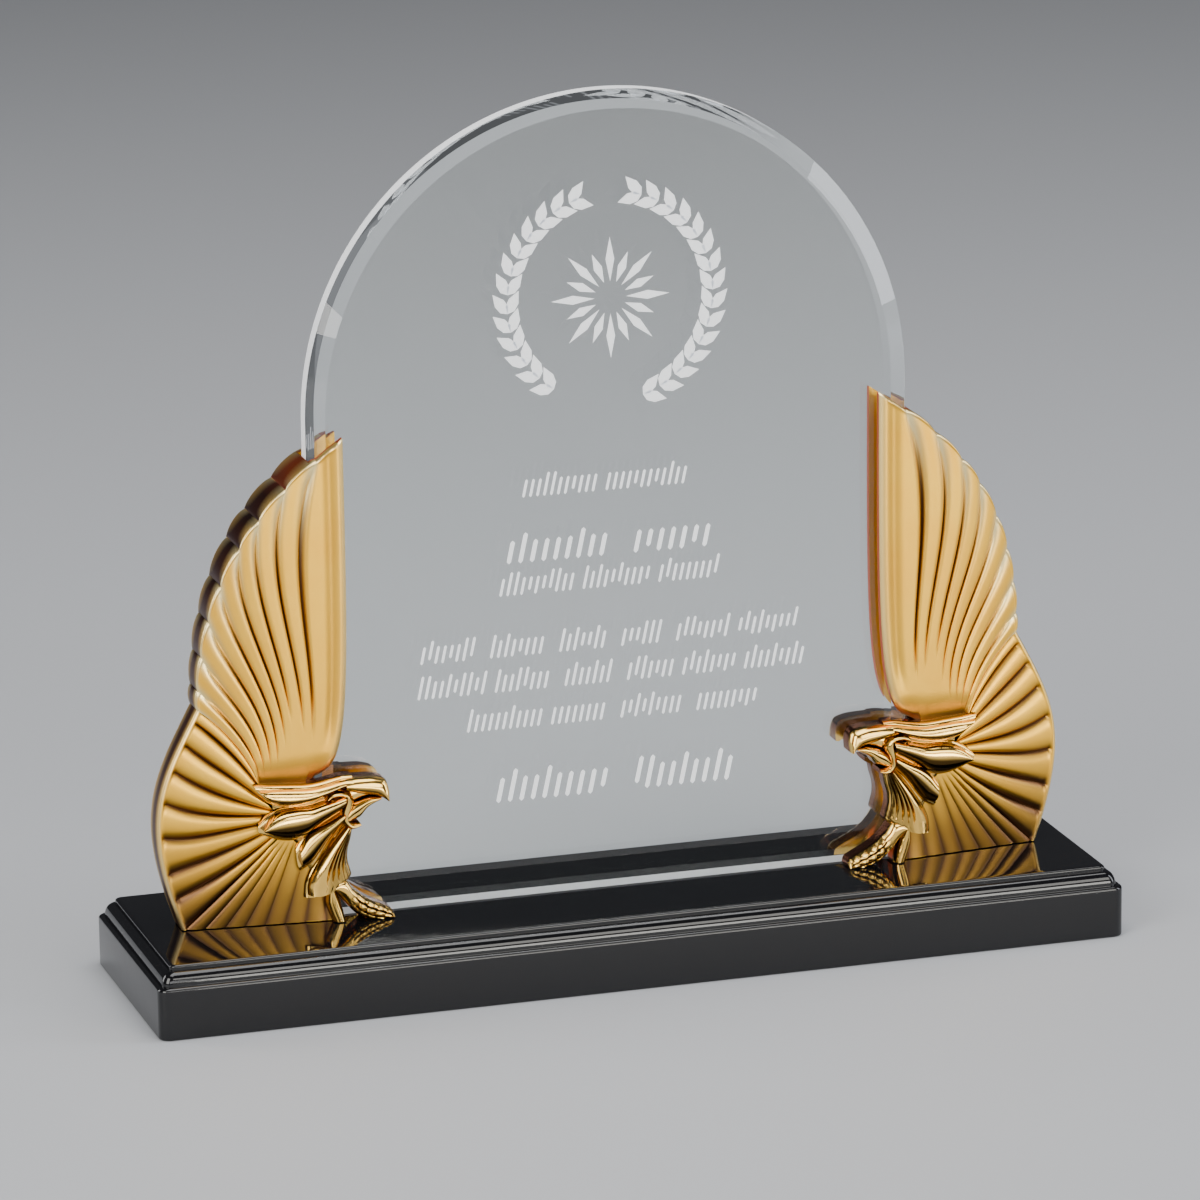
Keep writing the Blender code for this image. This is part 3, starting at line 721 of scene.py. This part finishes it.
def form(upper, lower, edge, crown, power=2.0, ridge=0.0, tilt=0.0, ribs=None, relief=None, grow=0.0,
         under=0.0, bulge=0.0, painted_shade=0.0, along=56, across=32):
    """A form between two edge curves: u from 0 to 1 along it, v = -1 at the lower edge, 1 at the upper.

    Half thickness = edge + (crown - edge) * (1 - |w| ** power) ** 0.5 * (1 - tilt * max(w, 0)), where w is v
    counted from the ridge. A tilted form has power 2.2 below the ridge.
    Ribs are the places of grooves across it, and relief is a function of u and v that is added.
    Bulge rounds the far end by bulge * u ** 5 * (1 - v ** 2), and grow moves both edges outwards.
    Under paints shade on the flank below the ridge, and the share after bulge paints shade all over the form.
    Its edges, ribs and carved relief are painted dark as shade too.
    """
    top, bottom = spline(upper, along), spline(lower, along)
    if grow:
        top, bottom = grown(top, bottom, grow)
    v = -np.cos(np.linspace(0, np.pi, across))
    u = np.linspace(0, 1, along)
    flat = bottom[:, None] + (top - bottom)[:, None] * ((v + 1) / 2)[None, :, None]
    heading = np.gradient((top + bottom) / 2, axis=0)
    heading = heading / np.hypot(*heading.T)[:, None]
    flat = flat + bulge * (u[:, None] ** 5 * (1 - v ** 2)[None, :])[..., None] * heading[:, None]
    w = np.where(v > ridge, (v - ridge) / (1 - ridge), (v - ridge) / (1 + ridge))
    curve = np.where(w > 0, power, 2.2 if tilt else power)
    roll = np.sqrt(np.clip(1 - np.abs(w) ** curve, 0, 1)) * (1 - tilt * np.clip(w, 0, 1))
    roll = roll[None, :] * np.ones((along, 1))
    # painted shade: along both edges of the form, on the flank below the ridge, and evenly over the whole
    # form by the share after bulge
    flank = np.maximum(ease((np.abs(v) - 0.88) / 0.12), under * ease((-w - 0.04) / 0.2))
    dark = np.maximum(flank, painted_shade)[None, :] * np.ones((along, 1))
    if ribs is not None:
        near = np.abs(v[None, :] - np.asarray(ribs)[:, None]).min(axis=0)
        line = bell(near, 0, 0.05)[None, :] * ease((1.05 - u) / 0.6)[:, None]
        roll = roll * (1 - 0.45 * line)
        # the rib grooves are painted dark as shade
        dark = np.maximum(dark, line)
    depth = edge + (crown - edge) * roll
    if relief is not None:
        carved = relief(u[:, None], v[None, :])
        depth = depth + carved
        # carved hollows are painted dark as shade
        dark = np.maximum(dark, np.clip(-carved * 1.4, 0, 1))
    near_side = np.stack((flat[..., 0], -depth, flat[..., 1]), -1)
    far_side = np.stack((flat[..., 0], depth, flat[..., 1]), -1)[:, ::-1]
    points = from_drawing(np.concatenate((near_side, far_side), axis=1).reshape(-1, 3))
    tones = np.concatenate((dark, dark[:, ::-1]), axis=1)
    count = 2 * across
    caps = (range(count - 1, -1, -1), range(len(points) - count, len(points)))
    return points, grid_quads(along, count, wrap=True), caps, tones.ravel()


def rod(path, widths, edge, crown, **more):
    """A form that follows a path: its edges are the path moved sideways by the widths."""
    centre = spline(path, 40)
    ahead = np.gradient(centre, axis=0)
    side = np.stack((-ahead[:, 1], ahead[:, 0]), -1) / np.hypot(*ahead.T)[:, None]
    half = np.interp(np.linspace(0, 1, 40), np.linspace(0, 1, len(widths)), widths)[:, None]
    return form(centre + side * half, centre - side * half, edge, crown, **more)


def cast_form(name, points, quads, caps, dark):
    """A form as an object, with its painted shade written as the gold's dark tone."""
    mesh = fill_mesh(name, points, quads, caps)
    write_tones(mesh, dark, np.zeros(len(points)))
    return stand(name, clean_mesh(mesh))


print("a form has %d points" % len(rod(((0, 0), (1, 0), (2, 0)), (1, 1), 1, 2)[0]))

# %% [markdown]
# The drawing of the figure follows: every curve is in millimetres across and up from the wing's inner foot.
# The crest has three long feathers swept back from the brow, each on a thin rim. The bib has fluted feathers
# under the open beak, and the leg carries rows of small scutes down to three toes.

# %% Figure: head, crest, bib and leg
TOE_CLEFTS = (-0.3, 0.34)       # places across the foot
PADS = 8.0                      # pads along a toe


def scutes(u, v):
    """A smooth shank, then three toes with clefts between them, and pads parted by a wave along each toe."""
    first, second = TOE_CLEFTS
    toe = np.digitize(v, TOE_CLEFTS)
    wave = np.abs(np.sin(np.pi * (PADS * u + 0.4 * toe))) ** 0.6
    cleft = bell(np.minimum(np.abs(v - first), np.abs(v - second)), 0, 0.09)
    started = ease((u - 0.28) * 5)
    return -0.6 * (1 - wave) * (np.abs(v) < 0.94) * started - 0.7 * cleft * started


CREST_1 = (((0.6, 40.7), (3.4, 40.7), (7, 40.0), (12.2, 39.2), (18.4, 39.5), (22, 39.8), (25.4, 40.0),
            (27.2, 40.2)),
           ((0.8, 39.4), (2.4, 38.8), (5, 37.9), (8.1, 36.7), (13.3, 35.3), (19, 34.9), (23.4, 36.0),
            (26.4, 38.8)))
CREST_2 = (((3.0, 36.3), (6.1, 35.5), (9.2, 34.7), (12.3, 33.9), (17, 33.8), (21.4, 33.2), (24.3, 31.6),
            (26, 29.6)),
           ((3.4, 32.8), (4.3, 32.1), (7.2, 30.3), (10.9, 28), (13.5, 26), (17.2, 25.1), (22.6, 26),
            (25.7, 28.0)))
CREST_3 = (((3.6, 31.6), (5.1, 30.7), (8.3, 29.0), (11.4, 27.5), (14.3, 25.2), (16.0, 22.6)),
           ((3.4, 28.8), (4.4, 27.8), (7.4, 24.6), (10.0, 20.8), (12.4, 17.9), (15.0, 16.6)))
BIB = (((3.1, 27.8), (4.4, 26.3), (7.4, 22.6), (10.1, 18.7), (12.6, 14.6), (13.8, 11.0), (13.8, 8.6)),
       ((1.1, 26.6), (1.7, 23.6), (2.6, 20), (2.6, 16.6), (2.0, 14.4), (1.7, 13.2), (2.2, 12.4)))
FORMS = {
    # the body is painted dark all over, as shade in the gaps between the crests
    "body": form(((3, 39.8), (10, 39.4), (16, 38.4), (22.6, 37.0), (23.6, 33), (22.0, 28), (17.4, 23.5),
                  (14.0, 16), (10.6, 9.6)),
                 ((1.8, 34), (3.0, 31), (3.6, 28), (2.8, 24), (3.0, 20), (3.1, 17), (2.6, 13.9),
                  (3.0, 12.6), (3.6, 11.6)),
                 6.8, 9.0, 3.4, painted_shade=0.85),
    "crest_1_rim": form(*CREST_1, 7.8, 10.0, 4.0, grow=0.9),
    "crest_1": form(*CREST_1, 8.8, 12.0, 4.0, ridge=-0.15, tilt=0.2, under=0.95, bulge=0.3),
    "crest_2_rim": form(*CREST_2, 7.8, 10.0, 4.0, grow=0.9, bulge=0.8),
    "crest_2": form(*CREST_2, 8.8, 12.9, 4.0, ridge=0.28, tilt=0.16, under=0.95, bulge=0.6),
    "crest_3_rim": form(*CREST_3, 7.8, 10.0, 4.0, grow=0.8, bulge=0.8),
    "crest_3": form(*CREST_3, 8.8, 12.7, 4.0, ridge=0.28, tilt=0.16, under=0.95, bulge=0.6),
    "bib_rim": form(*BIB, 8.4, 10.0, 4.0, grow=0.7, bulge=1.4),
    "bib": form(*BIB, 9.2, 12.8, 2.6, ridge=0.3, tilt=0.2, ribs=(-0.72, -0.42, -0.12, 0.16), under=0.45,
                bulge=1.4, along=64, across=84),
    "beak": form(((2.6, 40.9), (0.8, 41.0), (-2.3, 41.0), (-6.5, 40.6), (-9.0, 39.6), (-9.9, 37.2),
                  (-9.8, 34.0)),
                 ((2.8, 37.4), (1.2, 36.8), (-1.4, 36.0), (-3.8, 35.5), (-5.8, 35.1), (-7.4, 34.6),
                  (-8.9, 33.8)),
                 8.0, 12.4, 4.5, tilt=0.24, under=0.6),
    "face": form(((4.6, 38.6), (1.6, 38.2), (-2.8, 37.4), (-5.2, 36.4), (-6.6, 35.4)),
                 ((4.4, 30.4), (2.4, 31.8), (-1.0, 34.2), (-4.4, 35.2), (-6.4, 35.2)), 7.8, 9.6, 2.4),
    "eye": rod(((6.9, 35.6), (5.9, 35.1), (4.9, 35.5)), (0.2, 0.7, 0.3), 8.4, 11.3, under=0.95, along=24,
               across=16),
    "cheek": rod(((8.2, 35.6), (6.9, 36.7), (4.6, 37.0), (2.2, 36.4), (1.2, 35.0), (2.4, 32.8), (3.3, 30.6),
                  (3.0, 28.5), (1.3, 27.4), (-1.2, 27.8)),
                 (0.3, 0.9, 1.0, 1.1, 1.1, 1.1, 1.1, 1.2, 1.1, 0.6), 8.6, 12.4, under=0.3, along=80),
    "mouth": form(((2.8, 30.6), (1.5, 32.6), (-2.0, 34.3), (-5.0, 35.0), (-7.6, 34.8)),
                  ((1.8, 28.2), (0.2, 28.6), (-1.6, 29.2), (-3.5, 31.5), (-7.4, 34.0)),
                  7.8, 11.0, 3.0, ribs=(0.05,)),
    "thigh": rod(((7.4, 9.8), (6.7, 5.8), (5.5, 2.0), (4.7, -0.6)), (1.2, 2.0, 2.0, 1.7), 9.0, 11.8),
    "leg": form(((6.7, 10.8), (5.2, 12.2), (3.4, 12.3), (1.0, 9.4), (-1.6, 7.0), (-4.7, 5.0), (-8.0, 3.4),
                 (-10.1, 2.0), (-10.6, -0.3)),
                ((6.6, 9.6), (5.6, 8.2), (4.4, 6.5), (1.6, 3.1), (-0.2, 1.4), (-1.9, 0.4), (-4.7, -0.5),
                 (-7.7, -0.7), (-9.9, -0.5)),
                8.6, 12.6, 3.0, relief=scutes, along=110, across=48),
}
pieces = [cast_form(name, *shape) for name, shape in FORMS.items()]
figure_right = pieces[0]
figure_right.name = "figure_right"
boolean(figure_right, pieces[1:], "UNION")
boolean(figure_right, cutters(), "DIFFERENCE")
smooth(figure_right, 42)
print("figure: %d faces from %d forms" % (len(figure_right.data.polygons), len(FORMS)))

# %% [markdown]
# The pattern maker cuts one eagle and casts it twice, once mirrored, so the left one is a mirrored copy here.
# The mirror turns faces inwards, and they are turned back.

# %% Both eagles
def mirrored(obj, name):
    """A copy across the middle of the award: x becomes -x, and the faces are turned round again."""
    mesh = obj.data.copy()
    mesh.transform(Matrix.Scale(-1.0, 4, (1.0, 0.0, 0.0)))
    mesh.flip_normals()
    return stand(name, mesh)


eagles = {"eagle_right": (wing_right, figure_right),
          "eagle_left": (mirrored(wing_right, "wing_left"), mirrored(figure_right, "figure_left"))}
for node, parts in eagles.items():
    for part in parts:
        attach(part, "root")
        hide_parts(node)
        print(part.name, len(part.data.polygons), "faces")

# %% [markdown]
# The wings were blasted with fine glass beads before plating, so they glow without mirroring, and a brown
# patina stays in the grooves.
# The grooves, the shoulder and the foot are also painted darker as shade, and so are the figure's lower
# flanks and creases.
# The rim, the head, the crest and the feet were buffed bright, and on the wings the buffed rim is painted
# pale as a highlight.
# The casting's side walls are painted a copper tone as a painted reflection, and darker on the outer walls as
# painted shade.

# %% Gold
PAINTED_HIGHLIGHT, OUTER_WALL_SHADE = "#FFE6A4", "#44190A"
WALL_FROM, WALL_FULL = 0.14, 0.03       # how squarely a face looks to the front where the wall's tone sets in
OUTER_FROM, OUTER_FULL = 0.084, 0.098   # metres off the middle between which painted shade covers the wall's painted reflection
PIT_ROUGHNESS = 0.10


def size_of(tree, vector, axis):
    """One axis of a vector, without its sign."""
    part = add_node(tree, "ShaderNodeSeparateXYZ", links={"Vector": vector}).outputs[axis]
    return add_node(tree, "ShaderNodeMath", {"operation": "ABSOLUTE"}, {0: part}).outputs["Value"]


def gold_plate(name, field, bright, groove, side, roughness, shine_roughness, grain):
    """Gold with the groove's tone for patina and painted shade, smoother and painted pale where buffed, and a
    painted reflection on the side walls.
    """
    material, tree, shader = new_material(name, {"Metallic": 1.0, "Roughness": roughness})
    place = object_place(tree)
    # the first tone is patina and painted shade, the second is buffing with a painted highlight
    recess, shine = (add_node(tree, "ShaderNodeAttribute", {"attribute_name": label}).outputs["Fac"]
                     for label in ("recess", "shine"))
    # plating varies in tone over about 15 mm
    gold = blend(tree, noise(tree, place, 65.0, 3.0), field, bright)
    # painted highlight: buffed points are painted pale, #FFE6A4
    gold = blend(tree, shine, blend(tree, recess, gold, groove), PAINTED_HIGHLIGHT)
    normal = add_node(tree, "ShaderNodeNewGeometry").outputs["Normal"]
    wall = add_node(tree, "ShaderNodeMapRange", {"From Min": WALL_FROM, "From Max": WALL_FULL},
                    {"Value": size_of(tree, normal, "Y")})
    outer = add_node(tree, "ShaderNodeMapRange", {"From Min": OUTER_FROM, "From Max": OUTER_FULL},
                     {"Value": size_of(tree, place, "X")})
    # the side walls take a painted reflection, darker on the outer walls as painted shade
    painted_wall_reflection = blend(tree, outer.outputs["Result"], side, OUTER_WALL_SHADE)
    tree.links.new(blend(tree, wall.outputs["Result"], gold, painted_wall_reflection), shader.inputs["Base Color"])
    # bead blasting leaves pits about half a millimetre apart, drawn a little coarser than they are
    pits = noise(tree, place, grain)
    smoother = add_node(tree, "ShaderNodeMapRange", {"To Min": roughness, "To Max": shine_roughness},
                        {"Value": shine})
    uneven = add_node(tree, "ShaderNodeMath", {"operation": "MULTIPLY_ADD", 1: PIT_ROUGHNESS},
                      {0: pits, 2: smoother.outputs["Result"]})
    tree.links.new(uneven.outputs["Value"], shader.inputs["Roughness"])
    add_bump(tree, shader, pits, 0.12, 0.0001)
    return material


# the fifth colour is the side walls' painted reflection
satin = gold_plate("bead_blasted_gold_plate", "#F6B232", "#FFCB48", "#6A4C32", "#EA682C", 0.34, 0.29, 1800.0)
# on the figure the dark tone #2A180A is painted shade on the lower flanks, edges and creases
polished = gold_plate("buffed_gold_plate", "#F2C05C", "#F9CF74", "#2A180A", "#8A4C28", 0.10, 0.07, 900.0)
for wing, figure in eagles.values():
    wing.data.materials.append(satin)
    figure.data.materials.append(polished)
print("gold:", satin.name, "and", polished.name)

# %% [markdown]
# Sand blasting through a stencil leaves shallow white marks on the front face.
# The marks here are rows of short slanting strokes, with a wreath above them. They say nothing.
# Each mark is one outline of four to six corners, raised by a few hundredths of a millimetre.

# %% Marks on the glass
MARK_THICK = 0.06 * MM
MARK_SUNK = 0.2 * MARK_THICK    # how far a mark reaches into the glass
STROKE_PITCH = 2.5              # strokes from middle to middle, in stroke widths
WORD_GAP = 0.8                  # strokes nearer than this to a word's end are left out
SHORT, LEAN = 0.72, 0.22        # a short stroke's share of the height, and the lean to the right
RAISED_SHARE, RAISED_BY = 0.2, 0.2
# height, left, right, tall, bold, words, seed
ROWS = (
    (118.0, -26, 22, 6.0, 0.80, 2, 3), (100.4, -31, 29, 7.4, 1.30, 2, 5),
    (90.4, -33, 31, 6.0, 0.80, 3, 7), (73.0, -56, 54, 6.0, 0.80, 6, 11),
    (63.0, -57, 56, 6.0, 0.80, 6, 13), (52.3, -43, 42, 6.0, 0.80, 4, 17),
    (32.6, -35, 35, 8.3, 1.30, 2, 19))
EMBLEM_CENTRE, WREATH_RADIUS = (0.0, 169.0), 29.5
LEAF_ALONG, LEAF_ACROSS = (0.0, 0.22, 0.55, 1.0, 0.55, 0.22), (0.0, 0.20, 0.22, 0.0, -0.22, -0.20)
LEAF_SIZE, LEAF_TURN = 0.24, 32 # share of the wreath's radius, and degrees


def raise_marks(name, outlines):
    """Closed prisms from outlines (n, corners, 2) in millimetres: front ring, back ring, quads and caps."""
    rings = np.asarray(outlines, float)
    n, corners = rings.shape[:2]
    flat = rings.reshape(-1, 2) * MM + np.array((0.0, BASE_TOP))
    front, back = (np.column_stack((flat[:, 0], np.full(len(flat), y), flat[:, 1]))
                   for y in (-PLATE_FACE - MARK_THICK, -PLATE_FACE + MARK_SUNK))
    start = (np.arange(n) * corners)[:, None]
    i = np.arange(corners)[None, :]
    j = (i + 1) % corners
    total = n * corners
    sides = np.stack((start + i, start + j, start + j + total, start + i + total), -1).reshape(-1, 4)
    caps = np.concatenate((start + i, start + i[:, ::-1] + total))
    # leaves meet in a point, so their doubles stay apart
    mesh = clean_mesh(fill_mesh(name, np.concatenate((front, back)), sides, caps), merge=0)
    # the marks are ground glass, with its painted glow
    obj = stand(name, mesh, ground_glass)
    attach(obj, "root")
    return obj


def stroke_row(height, left, right, tall, bold, words, seed):
    """Strokes from left to right: leaning bars with pointed ends, in groups parted by wider gaps."""
    rng = np.random.default_rng(seed)
    count = int((right - left) / (bold * STROKE_PITCH))
    x = left + (np.arange(count) + 0.5) * (right - left) / count
    stops = np.linspace(0, count, words + 1)[1:-1] + rng.uniform(-1, 1, words - 1)
    x = x[np.abs(np.arange(count)[:, None] - stops[None, :]).min(axis=1) > WORD_GAP]
    reach_up = tall * rng.choice((SHORT, SHORT, SHORT, 1.0), len(x))
    foot = np.where(rng.random(len(x)) < RAISED_SHARE, tall * RAISED_BY, 0.0)
    half = bold / 2
    low, high = height - tall / 2 + foot, height - tall / 2 + reach_up
    corners = ((-1, low, 0), (0, low, -half), (1, low, 0), (1, high, 0), (0, high, half), (-1, high, 0))
    return np.stack([np.stack((x + dx * half + LEAN * (z - height), z + dz), -1) for dx, z, dz in corners],
                    axis=1)


def wreath(centre, radius):
    """Leaves in pairs on an open ring, each turned from the ring's direction by 32 degrees to either side."""
    turn = np.radians(np.linspace(-72, 236, 31))
    turn = turn[np.abs((np.degrees(turn) - 90 + 180) % 360 - 180) > 16]
    heading = turn + np.where(np.cos(turn) >= 0, np.pi / 2, -np.pi / 2)
    u, v = np.array(LEAF_ALONG), np.array(LEAF_ACROSS)
    size = radius * LEAF_SIZE
    x, z = (middle + radius * way[:, None] for middle, way in zip(centre, (np.cos(turn), np.sin(turn))))
    leaves = []
    for side in (-1, 1):
        angle = (heading + side * np.radians(LEAF_TURN))[:, None]
        leaves.append(np.stack((x + size * (u * np.cos(angle) - v * np.sin(angle)),
                                z + size * (u * np.sin(angle) + v * np.cos(angle))), -1))
    return np.concatenate(leaves)


def rays(centre, inner, outer, n, width):
    """Lozenges round a centre, from the inner to the outer radius, every other one shorter."""
    turn = np.arange(n) * 2 * np.pi / n + np.pi / 2
    out = np.where(np.arange(n) % 2, 0.72, 1.0) * (outer - inner) + inner
    middle = (inner + out) / 2
    corners = ((inner + 0 * out, 0), (middle, width), (out, 0), (middle, -width))
    return np.stack([np.stack((centre[0] + r * np.cos(turn) - w * np.sin(turn),
                               centre[1] + r * np.sin(turn) + w * np.cos(turn)), -1) for r, w in corners],
                    axis=1)


marks = (raise_marks("stroke_rows", np.concatenate([stroke_row(*row) for row in ROWS])),
         raise_marks("wreath", wreath(EMBLEM_CENTRE, WREATH_RADIUS)),
         raise_marks("sunburst", rays(EMBLEM_CENTRE, 4.5, 17.0, 16, 1.25)))
print("marks: %d faces" % sum(len(mark.data.polygons) for mark in marks))

# %% [markdown]
# Last, the scene is brought up to date.

# %% Finish
bpy.context.view_layer.update()
